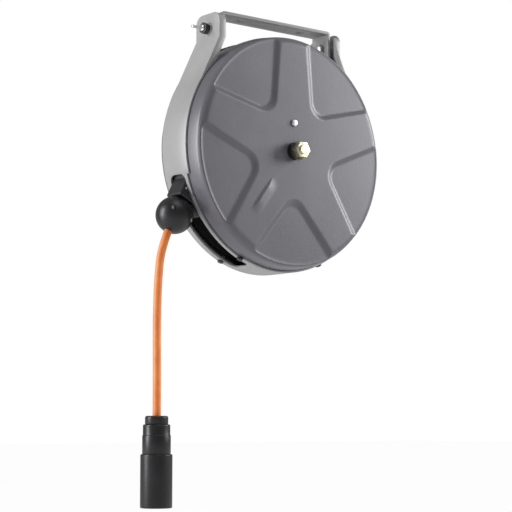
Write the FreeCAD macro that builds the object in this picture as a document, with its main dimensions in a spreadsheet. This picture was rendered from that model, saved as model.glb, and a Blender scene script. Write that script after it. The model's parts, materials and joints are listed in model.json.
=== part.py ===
import FreeCAD, Part
import math
import os
import re
import Sketcher

# Ceiling cord reel: a sheet-steel case hangs by two ears from a flat ceiling strap, and a sprung drum in it
# pays out a cord through a roller mouth, with a ball stop and a socket at the cord's end.
# X is to the right, Y to the back and Z up. The origin is the middle of the strap's upper face.
# Reel places are given from the axle's centre line, which lies axle_drop below the origin.

doc = FreeCAD.newDocument("cord_reel")
sheet = doc.addObject("Spreadsheet::Sheet", "sizes")
names = []


def size(name, value):
    names.append(name)
    cell = "B%d" % len(names)
    sheet.set("A%d" % len(names), name)
    sheet.set(cell, str(value))
    sheet.setAlias(cell, name)


# How far a cutting tool reaches past what it cuts, and the gap between pieces that are bolted together
size("through", 300)
size("fit_gap", 0.1)
size("running_gap", 0.05)

# Ceiling strap and its two pivot bolts
size("strap_space", 22)
size("strap_width", 32)
size("strap_sheet", 4)
size("strap_bend", 5)
size("spacer_length", 8)
size("lug_length", 44)
size("lug_corner", 10)
size("ceiling_hole_spacing", 100)
size("ceiling_hole_radius", 5.5)
size("pivot_drop", 22)
size("pivot_radius", 4)
size("pivot_free_end", 14)
size("pivot_short_end", 2)
size("pivot_full_end", 2)
size("pivot_tip_radius", 1.9)
size("spacer_radius", 8.8)
size("washer_radius", 8)
size("bolt_head_radius", 7.4)
size("bolt_head_height", 5.3)
size("nut_height", 6.5)
size("washer_sheet", 1.6)

# Case
size("band_radius", 150)
size("band_sheet", 2)
size("band_width", 48)
size("ear_half_span", 99)
size("ear_rise", 19)
size("ear_straight", 32)
size("ear_foot_angle", 33)
size("ear_corner", 12)
size("ear_fold", 10)
size("slot_start", 194.5)
size("slot_end", 253)
size("slot_corner", 9)
size("gap_width", 4)
size("gap_start", 195)
size("gap_end", 246)
size("cover_sheet", 1.5)
size("cover_gap", 0.4)
size("front_flange_depth", 14)
size("front_shoulder", 10)
size("cover_taper", 3.5)
size("rear_flange_depth", 3)
size("rear_shoulder", 10)
size("panel_apex", 63)
size("panel_apex_corner", 26)
size("panel_edge_angle", 40.5)
size("panel_run_out", 8)
size("panel_corner", 12)
size("panel_slope", 7)
size("front_panel_depth", 3.2)
size("rear_panel_depth", 3.2)
size("crease_offset", 4.5)
size("crease_start", 47)
size("crease_end", 105)
size("crease_run_out", 14)
size("crease_height", 1.8)
size("crease_width", 13)
size("crease_angle", 128)
size("case_screw_angle", 25)
size("case_screw_radius", 2)
size("case_head_radius", 3.8)
size("case_head_height", 2.4)
size("case_head_round", 1)
size("case_nut_flat", 7)
size("case_nut_height", 3.2)
size("case_screw_inset", 4.5)
size("plate_sheet", 1.4)
size("plate_inset", 4)
size("plate_half_angle", 52)

# Axle
size("axle_radius", 10)
size("stud_radius", 6)
size("stud_reach", 15)
size("axle_collar_length", 6)
size("axle_collar_radius", 11)
size("axle_nut_flat", 19)
size("axle_nut_height", 10)
size("axle_washer_radius", 12)
size("axle_washer_sheet", 2.5)
size("anchor_radius", 42)
size("anchor_sheet", 3)
size("anchor_screw_place", 36)
size("anchor_screw_radius", 2.5)
size("anchor_head_radius", 4.5)
size("anchor_head_height", 2.8)
size("anchor_head_round", 1.8)
size("circlip_sheet", 1.3)
size("circlip_height", 2.5)

# Drum
size("drum_width", 43)
size("drum_inset", 12)
size("drum_sheet", 1.5)
size("barrel_radius", 40)
size("barrel_sheet", 3)
size("bush_wall", 3)
size("hub_wall", 3)
size("bush_length", 12)
size("tie_place", 34)
size("tie_radius", 2.5)
size("tie_head_radius", 4.2)
size("tie_head_height", 1.1)
size("flange_lip", 2.5)
size("flange_lip_depth", 1)
size("spring_case_radius", 80)
size("spring_case_depth", 13)
size("spring_strip", 0.9)
size("spring_width", 9)
size("spring_case_bore", 26)
size("spring_case_lip", 6)
size("lid_gap", 4)
size("small_screw_radius", 1.5)
size("small_head_radius", 2.7)
size("small_head_height", 1.7)
size("small_screw_length", 5)
size("spring_turns", 9)
size("ratchet_inner", 54)
size("ratchet_base", 66)
size("ratchet_tip", 74)
size("ratchet_sheet", 3)
size("ratchet_tooth_start", 140)
size("ratchet_tooth_step", 16)
size("ratchet_tooth_angle", 6)
size("ring_carrier_radius", 28)
size("ring_carrier_depth", 11)
size("slip_ring_radius", 29.5)
size("slip_ring_width", 2)
size("slip_ring_pitch", 3)
size("carrier_gap", 1)
size("holder_gap", 1.5)
size("holder_end", 50)
size("holder_rise", 1.8)
size("holder_half_width", 13)
size("brush_end", 43)
size("brush_half_sheet", 0.85)
size("brush_half_width", 2.4)
size("brush_screw_place", 44)
size("brush_screw_spread", 9)

# Pawl on the rear cover
size("pawl_pin_place", 92)
size("pawl_pin_radius", 2.5)
size("pawl_tip_place", 70.5)
size("pawl_hub_radius", 6)
size("pawl_arm_half_width", 2.5)
size("pawl_tip_half_width", 2)
size("pawl_tip_length", 3)
size("pawl_lift", 0.4)
size("pawl_foot_radius", 5)
size("leaf_gap", 0.4)
size("leaf_sheet", 0.5)
size("leaf_foot_sheet", 3)
size("leaf_foot_length", 5)
size("leaf_overhang", 9)

# Cord, its mouth and what is on it
size("cord_radius", 5)
size("winding_radius", 92.5)
size("turn_gap", 0.5)
size("winding_gap", 0.3)
size("winding_side_gap", 0.75)
size("mouth_tilt", 27)
size("mouth_depth", 19)
size("mouth_wall", 2)
size("mouth_side_wall", 1.7)
size("mouth_hole", 11)
size("mouth_corner", 2.5)
size("mouth_slack", 0.2)
size("pocket_slack", 0.5)
size("pocket_floor", 2)
size("mouth_screw_angle", 155)
size("mouth_screw_inset", 3.2)
size("mouth_flange_sheet", 2.2)
size("mouth_lip_start", 193)
size("mouth_lip_angle", 24)
size("mouth_flange_width", 42)
size("roller_gap", 0.3)
size("wide_roller_radius", 3)
size("slim_roller_radius", 3.5)
size("wide_roller_depth", 4.5)
size("slim_roller_depth", 12)
size("roller_pin_radius", 1.5)
size("ball_radius", 23)
size("ball_stand", 27)
size("ball_gap", 0.3)
size("ball_joint_gap", 0.6)
size("ball_screw_place", 14.2)
size("ball_head_depth", 13.8)
size("ball_screw_end", 11.5)
size("inner_run_gap", 1.5)
size("connector_x", -172.6)
size("connector_top", 328.5)
size("collar_radius", 13.8)
size("collar_length", 10)
size("collar_round", 2.5)
size("sleeve_radius", 16.2)
size("sleeve_length", 35)
size("sleeve_round", 2)
size("sleeve_step", 0.7)
size("sleeve_step_place", 13)
size("connector_radius", 19)
size("connector_length", 63)
size("connector_wall", 2.5)
size("connector_round", 1.5)
size("connector_floor", 3)
size("insert_depth", 18)
size("connector_screw_inset", 8)
size("connector_screw_length", 14)
size("contact_shift", 2)
size("clip_length", 8)
size("clip_wall", 0.9)
size("clip_floor", 2)
size("blade_spacing", 12.7)
size("blade_slot_width", 1.8)
size("blade_slot_length", 7.6)
size("earth_radius", 2.6)
size("earth_offset", 10.5)

# Supply entry in the rear cover
size("gland_place", 84)
size("gland_angle", -54)
size("gland_radius", 8)
size("gland_bore", 5.5)
size("gland_nut_flat", 22)
size("gland_nut_height", 4)
size("gland_thread_end", 0.5)
size("gland_collar_height", 6)
size("gland_cap_height", 10)
size("gland_cap_inset", 1.5)
size("gland_cap_round", 3)
doc.recompute()

# Sizes that follow from others, so that pieces which fit together change together
follows = {
    "axle_drop": "(band_radius + strap_space)",
    "ear_height": "(band_radius + ear_rise)",
    "ear_foot_x": "(band_radius * cos(ear_foot_angle))",
    "ear_foot_z": "(band_radius * sin(ear_foot_angle))",
    "lug_half_span": "(ear_half_span - band_sheet - spacer_length)",
    "panel_outer": "(band_radius + panel_run_out)",
    "cover_overlap": "(band_width / 2 - slot_width / 2)",
    "drum_radius": "(band_radius - drum_inset)",
    "bush_radius": "(axle_radius + bush_wall)",
    "hub_radius": "(bush_radius + hub_wall)",
    "lid_bore": "(axle_radius + lid_gap)",
    "winding_pitch": "(2 * cord_radius + turn_gap)",
    "roller_room": "(cord_radius + roller_gap + pocket_slack)",
    "slot_width": "(2 * (roller_room + 2 * slim_roller_radius + mouth_wall + mouth_slack))",
    "mouth_half_width": "(roller_room + 2 * wide_roller_radius + mouth_side_wall)",
    "mouth_exit": "sqrt(band_radius ^ 2 - winding_radius ^ 2)",
    "mouth_inner": "(mouth_exit - mouth_depth)",
    "wide_roller_place": "(mouth_exit - wide_roller_depth)",
    "slim_roller_place": "(mouth_exit - slim_roller_depth)",
    "ball_place": "(mouth_exit + ball_stand)",
    "inner_run_start": "(2 * cord_radius + inner_run_gap)",
}


def full(text):
    """The same expression with each size written with its sheet, and what follows from others written out."""
    def word(match):
        name = match.group()
        if name in follows:
            return full(follows[name])
        return "sizes." + name if name in names else name
    return re.sub(r"[A-Za-z_]+", word, str(text))


def value(text):
    return float(sheet.evalExpression(full(text)))


def bind(thing, **expressions):
    for key, text in expressions.items():
        thing.setExpression(key.replace("_at_", "."), full(text))


def set_base(thing, x, y, z, turn):
    """Puts a thing's own zero at x, y, z in a frame turned about the axle."""
    thing.setExpression("Placement.Base.x", full("cos(%s) * (%s) + sin(%s) * (%s)" % (turn, x, turn, z)))
    thing.setExpression("Placement.Base.y", full(y))
    thing.setExpression("Placement.Base.z",
                        full("cos(%s) * (%s) - sin(%s) * (%s) - axle_drop" % (turn, z, turn, x)))


def place(thing, x, y, z, turn="0", spin=0):
    """The same, with the thing turned with its frame; spin is its own turn about Y first."""
    thing.Placement = FreeCAD.Placement(FreeCAD.Vector(), FreeCAD.Rotation(FreeCAD.Vector(0, 1, 0), 1))
    thing.setExpression("Placement.Rotation.Angle", full("%s + %s" % (turn, spin)))
    set_base(thing, x, y, z, turn)


def place_across(thing, x, y, z, turn="0"):
    """The same for a round thing that lies along Y."""
    thing.Placement = FreeCAD.Placement(FreeCAD.Vector(), FreeCAD.Rotation(FreeCAD.Vector(1, 0, 0), -90))
    set_base(thing, x, y, z, turn)


def rod(radius, along, low, high, x="0", y="0", z="0", turn="0", sides=0):
    """A cylinder, or a prism with its flats' half width as radius, along one axis from low to high."""
    if sides:
        thing = doc.addObject("Part::Prism", "prism")
        thing.Polygon = sides
        bind(thing, Circumradius="(%s) / cos(180 / %d)" % (radius, sides), Height="(%s) - (%s)" % (high, low))
    else:
        thing = doc.addObject("Part::Cylinder", "rod")
        bind(thing, Radius=radius, Height="(%s) - (%s)" % (high, low))
    if along == "x":
        place(thing, low, y, z, turn, 90)
    if along == "y":
        place_across(thing, x, low, z, turn)
    if along == "z":
        place(thing, x, y, low, turn)
    return thing


def block(x_low, x_high, y_low, y_high, z_low, z_high, turn="0"):
    thing = doc.addObject("Part::Box", "block")
    bind(thing, Length="(%s) - (%s)" % (x_high, x_low), Width="(%s) - (%s)" % (y_high, y_low),
         Height="(%s) - (%s)" % (z_high, z_low))
    place(thing, x_low, y_low, z_low, turn)
    return thing


def sector(radius, low, high, start, angle):
    """A slice of a cylinder about the axle, from one angle over another, seen with the back to the wall."""
    thing = doc.addObject("Part::Cylinder", "sector")
    bind(thing, Radius=radius, Height="(%s) - (%s)" % (high, low), Angle=angle)
    thing.Placement = FreeCAD.Placement(FreeCAD.Vector(), FreeCAD.Rotation(FreeCAD.Vector(1, 0, 0), 90))
    outer = doc.addObject("Part::Compound", "turned_sector")
    bind(thing, Placement_at_Base_at_y=high)
    outer.Links = [thing]
    outer.Placement = FreeCAD.Placement(FreeCAD.Vector(), FreeCAD.Rotation(FreeCAD.Vector(0, 1, 0), 1))
    outer.setExpression("Placement.Rotation.Angle", full("-(%s)" % start))
    outer.setExpression("Placement.Base.z", full("-axle_drop"))
    return outer


def fuse(*things):
    result = doc.addObject("Part::MultiFuse", "joined")
    result.Shapes = list(things)
    return result


def cut(base, *tools):
    result = doc.addObject("Part::Cut", "opened")
    result.Base = base
    result.Tool = tools[0] if len(tools) == 1 else fuse(*tools)
    return result


def common(first, second):
    result = doc.addObject("Part::Common", "shared")
    result.Base = first
    result.Tool = second
    return result


def tube(outer, inner, low, high, **where):
    return cut(rod(outer, "y", low, high, **where),
               rod(inner, "y", "%s - 1" % low, "%s + 1" % high, **where))


def group(*things):
    result = doc.addObject("Part::Compound", "group")
    result.Links = list(things)
    return result


def outline(points, low, high):
    """A plate along Y whose corners, in X and Z from the axle, are held by dimensions on a sketch."""
    sketch = doc.addObject("Sketcher::SketchObject", "outline")
    sketch.Placement = FreeCAD.Placement(FreeCAD.Vector(), FreeCAD.Rotation(FreeCAD.Vector(1, 0, 0), 90))
    bind(sketch, Placement_at_Base_at_y=low, Placement_at_Base_at_z="-axle_drop")
    draw(sketch, points)
    plate = doc.addObject("Part::Extrusion", "plate")
    plate.Base = sketch
    plate.DirMode = "Custom"
    plate.Dir = FreeCAD.Vector(0, 1, 0)
    plate.Solid = True
    bind(plate, LengthFwd="(%s) - (%s)" % (high, low))
    return plate


def draw(sketch, points):
    """A closed outline of straight lines through points given as pairs of expressions."""
    corners = [FreeCAD.Vector(value(x), value(y), 0) for x, y in points]
    count = len(corners)
    for index in range(count):
        sketch.addGeometry(Part.LineSegment(corners[index], corners[(index + 1) % count]), False)
    for index in range(count):
        sketch.addConstraint(Sketcher.Constraint("Coincident", index, 2, (index + 1) % count, 1))
    for index, (x, y) in enumerate(points):
        for kind, axis, text, place_there in (("DistanceX", -2, x, corners[index].x),
                                              ("DistanceY", -1, y, corners[index].y)):
            if abs(place_there) < 1e-9:
                sketch.addConstraint(Sketcher.Constraint("PointOnObject", index, 1, axis))
                continue
            spot = sketch.addConstraint(Sketcher.Constraint(kind, -1, 1, index, 1, place_there))
            sketch.setExpression("Constraints[%d]" % spot, full(text))


def turned(label, points):
    """A body turned about the axle from an outline of radius and place along Y."""
    body = doc.addObject("PartDesign::Body", label)
    sketch = body.newObject("Sketcher::SketchObject", "profile")
    plane = [thing for thing in body.Origin.OriginFeatures if thing.Role == "XY_Plane"][0]
    sketch.AttachmentSupport = (plane, [""])
    sketch.MapMode = "FlatFace"
    draw(sketch, points)
    turn = body.newObject("PartDesign::Revolution", "turn")
    turn.Profile = sketch
    turn.ReferenceAxis = (sketch, ["V_Axis"])
    turn.Angle = 360
    bind(body, Placement_at_Base_at_z="-axle_drop")
    return body


def round_edges(thing, radius, wanted):
    """Rounds the edges whose middle point the test picks out."""
    doc.recompute()
    picked = []
    for index, edge in enumerate(thing.Shape.Edges):
        middle = edge.valueAt((edge.FirstParameter + edge.LastParameter) / 2)
        if wanted(edge, middle):
            picked.append((index + 1, value(radius), value(radius)))
    if not picked:
        raise ValueError("no edge to round on " + thing.Label)
    rounded = doc.addObject("Part::Fillet", "rounded")
    rounded.Base = thing
    rounded.Edges = picked
    return rounded


sub_parts = {}


def keep(label, thing):
    thing.Label = label
    sub_parts[label] = thing


# Places worked out from the sizes, written as expressions
band_half = "band_width / 2"
cover_radius = "(band_radius - band_sheet - cover_gap)"
front_face = "(-band_width / 2 - front_flange_depth - front_shoulder)"
front_inside = "(%s + cover_sheet)" % front_face
front_end = "(-band_width / 2 + cover_overlap)"
rear_face = "(band_width / 2 + rear_flange_depth + rear_shoulder)"
rear_inside = "(%s - cover_sheet)" % rear_face
pivot_z = "(axle_drop - pivot_drop)"
lug_inside = "(lug_half_span - strap_sheet)"
ear_inside = "(ear_half_span - band_sheet)"
drum_half = "(drum_width / 2)"
flange_face = "(drum_width / 2 + drum_sheet)"


def side_rod(side, radius, near, far, **more):
    """A rod along X on the right side, or its mirror image on the left."""
    if side > 0:
        return rod(radius, "x", near, far, **more)
    return rod(radius, "x", "-(%s)" % far, "-(%s)" % near, **more)


# Ceiling strap: a flat bar with its ends bent down as lugs
bar = block("-lug_half_span", "lug_half_span", "-strap_width / 2", "strap_width / 2", "axle_drop - lug_length",
            "axle_drop")
bar = round_edges(bar, "strap_bend", lambda edge, middle: abs(middle.y) < 1e-6 and middle.z > -1e-6)
bar = round_edges(bar, "lug_corner",
                  lambda edge, middle: abs(middle.x) < 1e-6 and middle.z < -value("lug_length") + 1e-6)
hollow = block("-%s" % lug_inside, lug_inside, "-strap_width", "strap_width", "0", "axle_drop - strap_sheet")
strap_holes = [rod("ceiling_hole_radius", "z", "axle_drop - 2 * strap_sheet", "axle_drop + strap_sheet",
                   x=side + "ceiling_hole_spacing / 2") for side in ("-", "")]
lug_hole = rod("pivot_radius + running_gap", "x", "-through", "through", z=pivot_z)
keep("ceiling_strap", cut(bar, hollow, lug_hole, *strap_holes))

# Pivot bolts from inside the lugs, with a spacer ring between lug and ear, and a washer and nut outside
bolts = []
spacers = []
nuts = []
washers = []
nut_start = "(ear_half_span + fit_gap + washer_sheet)"
bolt_end = "(%s + nut_height + pivot_full_end)" % nut_start
for side, free_end in ((-1, "pivot_free_end"), (1, "pivot_short_end")):
    shank = side_rod(side, "pivot_radius", "%s - bolt_head_height / 2" % lug_inside, bolt_end, z=pivot_z)
    tip = side_rod(side, "pivot_tip_radius", bolt_end, "%s + %s" % (bolt_end, free_end), z=pivot_z)
    head = side_rod(side, "bolt_head_radius * cos(30)", "%s - bolt_head_height" % lug_inside, lug_inside,
                    z=pivot_z, sides=6)
    bolts.append(fuse(shank, tip, head))
    hole = side_rod(side, "pivot_radius + running_gap", "0", "through", z=pivot_z)
    ring = side_rod(side, "spacer_radius", "lug_half_span", "%s - fit_gap" % ear_inside, z=pivot_z)
    spacers.append(cut(ring, hole))
    ring = side_rod(side, "washer_radius", "ear_half_span + fit_gap", nut_start, z=pivot_z)
    washers.append(cut(ring, hole))
    ring = side_rod(side, "bolt_head_radius * cos(30)", nut_start, "%s + nut_height" % nut_start, z=pivot_z,
                    sides=6)
    nuts.append(cut(ring, hole))
keep("pivot_bolts", group(*bolts))
keep("pivot_spacers", group(*spacers))
keep("pivot_washers", group(*washers))
keep("pivot_nuts", group(*nuts))

# Side band: a round wall whose two ends rise as ears, with the ears' edges folded inwards
ear_lean = "atan((ear_foot_x - ear_half_span) / (ear_height - ear_straight - ear_foot_z))"


def ear_outline(inset, low, high, top="0"):
    """The ears' outline, set in square to their walls."""
    foot = "ear_foot_x - (%s) / cos(%s)" % (inset, ear_lean)
    side = "ear_half_span - (%s)" % inset
    knee = "ear_height - ear_straight"
    crown = "ear_height + (%s)" % top
    half = [(foot, "ear_foot_z"), (side, knee), (side, crown)]
    other = [("-(%s)" % x, z) for x, z in reversed(half)]
    return outline(half + other, low, high)


shell = fuse(rod("band_radius", "y", "-" + band_half, band_half),
             ear_outline("0", "-" + band_half, band_half))
inner = fuse(rod("band_radius - band_sheet", "y", "-band_width", "band_width"),
             ear_outline("band_sheet", "-band_width", "band_width", "through"))
wall = cut(shell, inner)
folds = []
for low, high in (("-" + band_half, "-%s + band_sheet" % band_half),
                  ("%s - band_sheet" % band_half, band_half)):
    folds.append(cut(ear_outline("band_sheet / 4", low, high),
                     ear_outline("ear_fold", "-band_width", "band_width", "through"),
                     rod("band_radius - band_sheet", "y", "-band_width", "band_width")))
corners = block("-band_radius", "band_radius", "-" + band_half, band_half, "-band_radius", "ear_height")
corners = round_edges(corners, "ear_corner",
                      lambda edge, middle: abs(middle.x) < 1e-6 and middle.z > -value("ear_corner")
                      and abs(middle.y) > 1e-6)
rim_low = "(band_radius - 5 * band_sheet)"
rim_high = "(band_radius + 5 * band_sheet)"
slot = cut(sector(rim_high, "-slot_width / 2", "slot_width / 2", "slot_start", "slot_end - slot_start"),
           rod(rim_low, "y", "-band_width", "band_width"))
slot = round_edges(slot, "slot_corner", lambda edge, middle: edge.Curve.TypeId == "Part::GeomLine"
                   and abs(abs(middle.y) - value("slot_width / 2")) < 1e-6)
gap_cut = cut(sector(rim_high, "-%s - fit_gap" % band_half, "-%s + gap_width" % band_half, "gap_start",
                     "gap_end - gap_start"), rod(rim_low, "y", "-band_width", "band_width"))
case_screw_turns = ["90 - case_screw_angle", "90 + case_screw_angle"]
case_screw_places = ["-%s + case_screw_inset" % band_half, "%s - case_screw_inset" % band_half]
screw_holes = [rod("case_screw_radius + 2 * fit_gap", "x", rim_low, rim_high, y=along, turn=turn)
               for turn in case_screw_turns for along in case_screw_places]
ear_hole = rod("pivot_radius + running_gap", "x", "-through", "through", z=pivot_z)
mouth_screw_y = "(slot_width / 2 + mouth_screw_inset)"
mouth_holes = [rod("small_screw_radius + fit_gap", "x", rim_low, rim_high, y=side + mouth_screw_y,
                   turn="mouth_screw_angle") for side in ("-", "")]
keep("side_band", cut(common(fuse(wall, *folds), corners), slot, gap_cut, ear_hole,
                      *(screw_holes + mouth_holes)))

# Plate that closes the case between the ears, trapped under both covers' rims
plate_top = "(%s - cover_sheet - fit_gap)" % cover_radius
plate = sector(plate_top, "-%s + plate_inset" % band_half, "%s - plate_inset" % band_half,
               "90 - plate_half_angle", "2 * plate_half_angle")
keep("top_plate", cut(plate, rod("%s - plate_sheet" % plate_top, "y", "-band_width", "band_width")))


# Pressed covers
def panel_wire(inset, y):
    """A panel's outline, set in from its edge: two straight sides, a round apex and a round rim."""
    edge = math.radians(value("panel_edge_angle"))
    apex = value("panel_apex_corner") - inset
    apex_place = value("panel_apex") + value("panel_apex_corner")
    rim = value("panel_outer") - inset
    corner = value("panel_corner") - inset
    side = FreeCAD.Vector(math.sin(edge), 0, math.cos(edge))
    out = FreeCAD.Vector(math.cos(edge), 0, -math.sin(edge))
    start = FreeCAD.Vector(0, y, apex_place) + out * apex
    middle = FreeCAD.Vector(0, y, apex_place) + out * (apex - corner)
    flat = FreeCAD.Vector(middle.x, 0, middle.z)
    reach = -flat.dot(side) + math.sqrt(flat.dot(side) ** 2 - flat.dot(flat) + (rim - corner) ** 2)
    centre = middle + side * reach
    end = centre + out * corner
    ray = FreeCAD.Vector(centre.x, 0, centre.z).normalize()
    touch = centre + ray * corner
    half_way = centre + (ray + out).normalize() * corner

    def mirror(point):
        return FreeCAD.Vector(-point.x, point.y, point.z)

    edges = [Part.LineSegment(start, end).toShape(),
             Part.Arc(end, half_way, touch).toShape(),
             Part.Arc(touch, FreeCAD.Vector(0, y, rim), mirror(touch)).toShape(),
             Part.Arc(mirror(touch), mirror(half_way), mirror(end)).toShape(),
             Part.LineSegment(mirror(end), mirror(start)).toShape(),
             Part.Arc(mirror(start), FreeCAD.Vector(0, y, apex_place - apex), start).toShape()]
    return Part.Wire(edges)


def panel_tool(face, side, depth, grow):
    """Five sloping-sided blocks that press the panels in; grow widens them by the sheet's thickness."""
    slope = value("panel_slope")
    rise = slope / depth
    widen = grow * (math.sqrt(1 + rise * rise) - rise)
    over = value("crease_height") + 1
    top = panel_wire(-widen - over * rise, face + side * over)
    floor = panel_wire(slope - widen, face - side * depth)
    press = Part.makeLoft([top, floor], True, True)
    tools = []
    for number in range(5):
        tool = doc.addObject("Part::Feature", "panel_press")
        tool.Shape = press
        turn = FreeCAD.Rotation(FreeCAD.Vector(0, 1, 0), 180 + 72 * number)
        tool.Placement = FreeCAD.Placement(FreeCAD.Vector(0, 0, -value("axle_drop")), turn)
        tools.append(tool)
    return tools


def dish(face, end, side, shoulder, depth, *raised):
    """A round sheet cover with a rolled shoulder and pressed panels; side is -1 at the front."""
    def turned_edge(reach, edge_radius, radius):
        shoulder_end = "%d * %s" % (side, band_half)
        low, high = sorted((shoulder_end, end), key=value)
        drum = rod(radius, "y", low, high)
        crown = doc.addObject("Part::Cone", "crown")
        low, high = sorted((shoulder_end, reach), key=value)
        narrow = "%s - cover_taper" % radius
        bind(crown, Height="(%s) - (%s)" % (high, low), Radius1=narrow if side < 0 else radius,
             Radius2=radius if side < 0 else narrow)
        place_across(crown, "0", low, "0")
        return round_edges(fuse(drum, crown), edge_radius,
                           lambda edge, middle: abs(middle.y - value(reach)) < 1e-6)

    inside = "%s - %d * cover_sheet" % (face, side)
    outer = turned_edge(face, shoulder, cover_radius)
    outer = cut(fuse(outer, *raised) if raised else outer, *panel_tool(value(face), side, value(depth), 0))
    inner_face = value(inside)
    hollow = turned_edge(inside, "%s - cover_sheet" % shoulder, "%s - cover_sheet" % cover_radius)
    hollow = cut(hollow, *panel_tool(inner_face, side, value(depth), value("cover_sheet")))
    return cut(outer, hollow)


stud_hole = rod("stud_radius + fit_gap", "y", "-through", "through")
anchor_hole = rod("anchor_screw_radius + fit_gap", "y", "-through", "0", z="anchor_screw_place")
case_screw_holes = {}
for side, along in ((-1, case_screw_places[0]), (1, case_screw_places[1])):
    case_screw_holes[side] = [rod("case_screw_radius + 2 * fit_gap", "x", rim_low, "band_radius", y=along,
                                  turn=turn) for turn in case_screw_turns]
# A low crease along one spoke of the front cover: a steep step on its left side that falls away to the right
crease = doc.addObject("Part::Wedge", "crease")
crease.Xmin, crease.X2min, crease.X2max = 0, 0, 0
bind(crease, Xmax="crease_width", Ymin="-cover_sheet / 3", Ymax="crease_height", Zmin="0", Z2min="crease_run_out",
     Zmax="crease_end - crease_start", Z2max="crease_end - crease_start - crease_run_out")
crease.Placement = FreeCAD.Placement(FreeCAD.Vector(), FreeCAD.Rotation(FreeCAD.Vector(0, 1, 0),
                                                                        value("crease_angle - 90"))
                                     * FreeCAD.Rotation(FreeCAD.Vector(1, 0, 0), 180))
set_base(crease, "crease_start", front_face, "-crease_offset", "crease_angle")
front_cover = dish(front_face, front_end, -1, "front_shoulder", "front_panel_depth", crease)
front_cover = cut(front_cover, stud_hole, anchor_hole, gap_cut, *(case_screw_holes[-1] + mouth_holes))
keep("front_cover", front_cover)
brush_screw_places = ["-brush_screw_spread", "brush_screw_spread"]
brush_screw_start = "(%s - small_screw_length)" % rear_inside
brush_screw_holes = [rod("small_screw_radius", "y", brush_screw_start, "through", x="brush_screw_place",
                         z=side, turn="90") for side in brush_screw_places]
rear_cover = dish(rear_face, "-(%s)" % front_end, 1, "rear_shoulder", "rear_panel_depth")
gland_hole = rod("gland_radius + fit_gap", "y", "0", "through", x="gland_place", turn="-gland_angle")
keep("rear_cover", cut(rear_cover, stud_hole, gland_hole,
                       *(case_screw_holes[1] + brush_screw_holes + mouth_holes)))

# Radial screws that hold the covers' rims in the band, with nuts inside
screws = []
nuts = []
nut_top = "(%s - cover_sheet - fit_gap)" % cover_radius
nut_bottom = "(%s - case_nut_height)" % nut_top
for turn in case_screw_turns:
    for along in case_screw_places:
        shank = rod("case_screw_radius", "x", "%s - case_screw_radius / 2" % nut_bottom,
                    "band_radius + case_head_height / 2", y=along, turn=turn)
        head = rod("case_head_radius", "x", "band_radius", "band_radius + case_head_height", y=along,
                   turn=turn)
        screws.append(round_edges(fuse(shank, head), "case_head_round", lambda edge, middle:
                                  edge.Length > math.pi * 2 * value("case_screw_radius") + 1
                                  and math.hypot(middle.x, middle.z + value("axle_drop"))
                                  > value("band_radius + case_head_height / 2")))
        nut = rod("case_nut_flat / 2", "x", nut_bottom, nut_top, y=along, turn=turn, sides=6)
        nuts.append(cut(nut, rod("case_screw_radius", "x", "0", "through", y=along, turn=turn)))
keep("case_screws", group(*screws))
keep("case_nuts", group(*nuts))

# Fixed axle with a threaded stud at each end, and what holds it in the covers
anchor_back = "(%s + anchor_sheet)" % front_inside
stud_front = "(%s - axle_collar_length - stud_reach)" % front_face
stud_rear = "(%s + stud_reach)" % rear_face
keep("axle", turned("axle", [("0", stud_front), ("stud_radius", stud_front), ("stud_radius", anchor_back),
                             ("axle_radius", anchor_back), ("axle_radius", rear_inside),
                             ("stud_radius", rear_inside), ("stud_radius", stud_rear), ("0", stud_rear)]))
axle_washers = []
axle_nuts = []
collar_face = "(%s - axle_collar_length)" % front_face
for seat, side in ((collar_face, -1), (rear_face, 1)):
    ends = [seat, "(%s + %d * axle_washer_sheet)" % (seat, side),
            "(%s + %d * (axle_washer_sheet + axle_nut_height))" % (seat, side)]
    low, high = sorted(ends[:2], key=value)
    axle_washers.append(tube("axle_washer_radius", "stud_radius", low, high))
    low, high = sorted(ends[1:], key=value)
    nut = rod("axle_nut_flat / 2", "y", low, high, sides=6)
    axle_nuts.append(cut(nut, rod("stud_radius", "y", "%s - 1" % low, "%s + 1" % high)))
axle_washers.append(tube("axle_collar_radius", "stud_radius", collar_face, front_face))
keep("axle_washers", group(*axle_washers))
keep("axle_nuts", group(*axle_nuts))
anchor = tube("anchor_radius", "stud_radius + fit_gap", front_inside, anchor_back)
keep("anchor_plate", cut(anchor, rod("anchor_screw_radius", "y", "-through", "0", z="anchor_screw_place")))
shank = rod("anchor_screw_radius", "y", front_face, "%s + anchor_screw_radius" % anchor_back,
            z="anchor_screw_place")
anchor_top = "(%s - anchor_head_height)" % front_face
head = rod("anchor_head_radius", "y", anchor_top, front_face, z="anchor_screw_place")
keep("anchor_screw", round_edges(fuse(shank, head), "anchor_head_round",
                                 lambda edge, middle: abs(middle.y - value(anchor_top)) < 1e-6))
clip_near = "(%s + fit_gap)" % flange_face
clip_far = "(%s + circlip_sheet)" % clip_near
clip_seats = [("-" + clip_far, "-" + clip_near), (clip_near, clip_far)]
keep("retaining_rings", group(*[tube("axle_radius + circlip_height", "axle_radius", low, high)
                                for low, high in clip_seats]))

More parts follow.
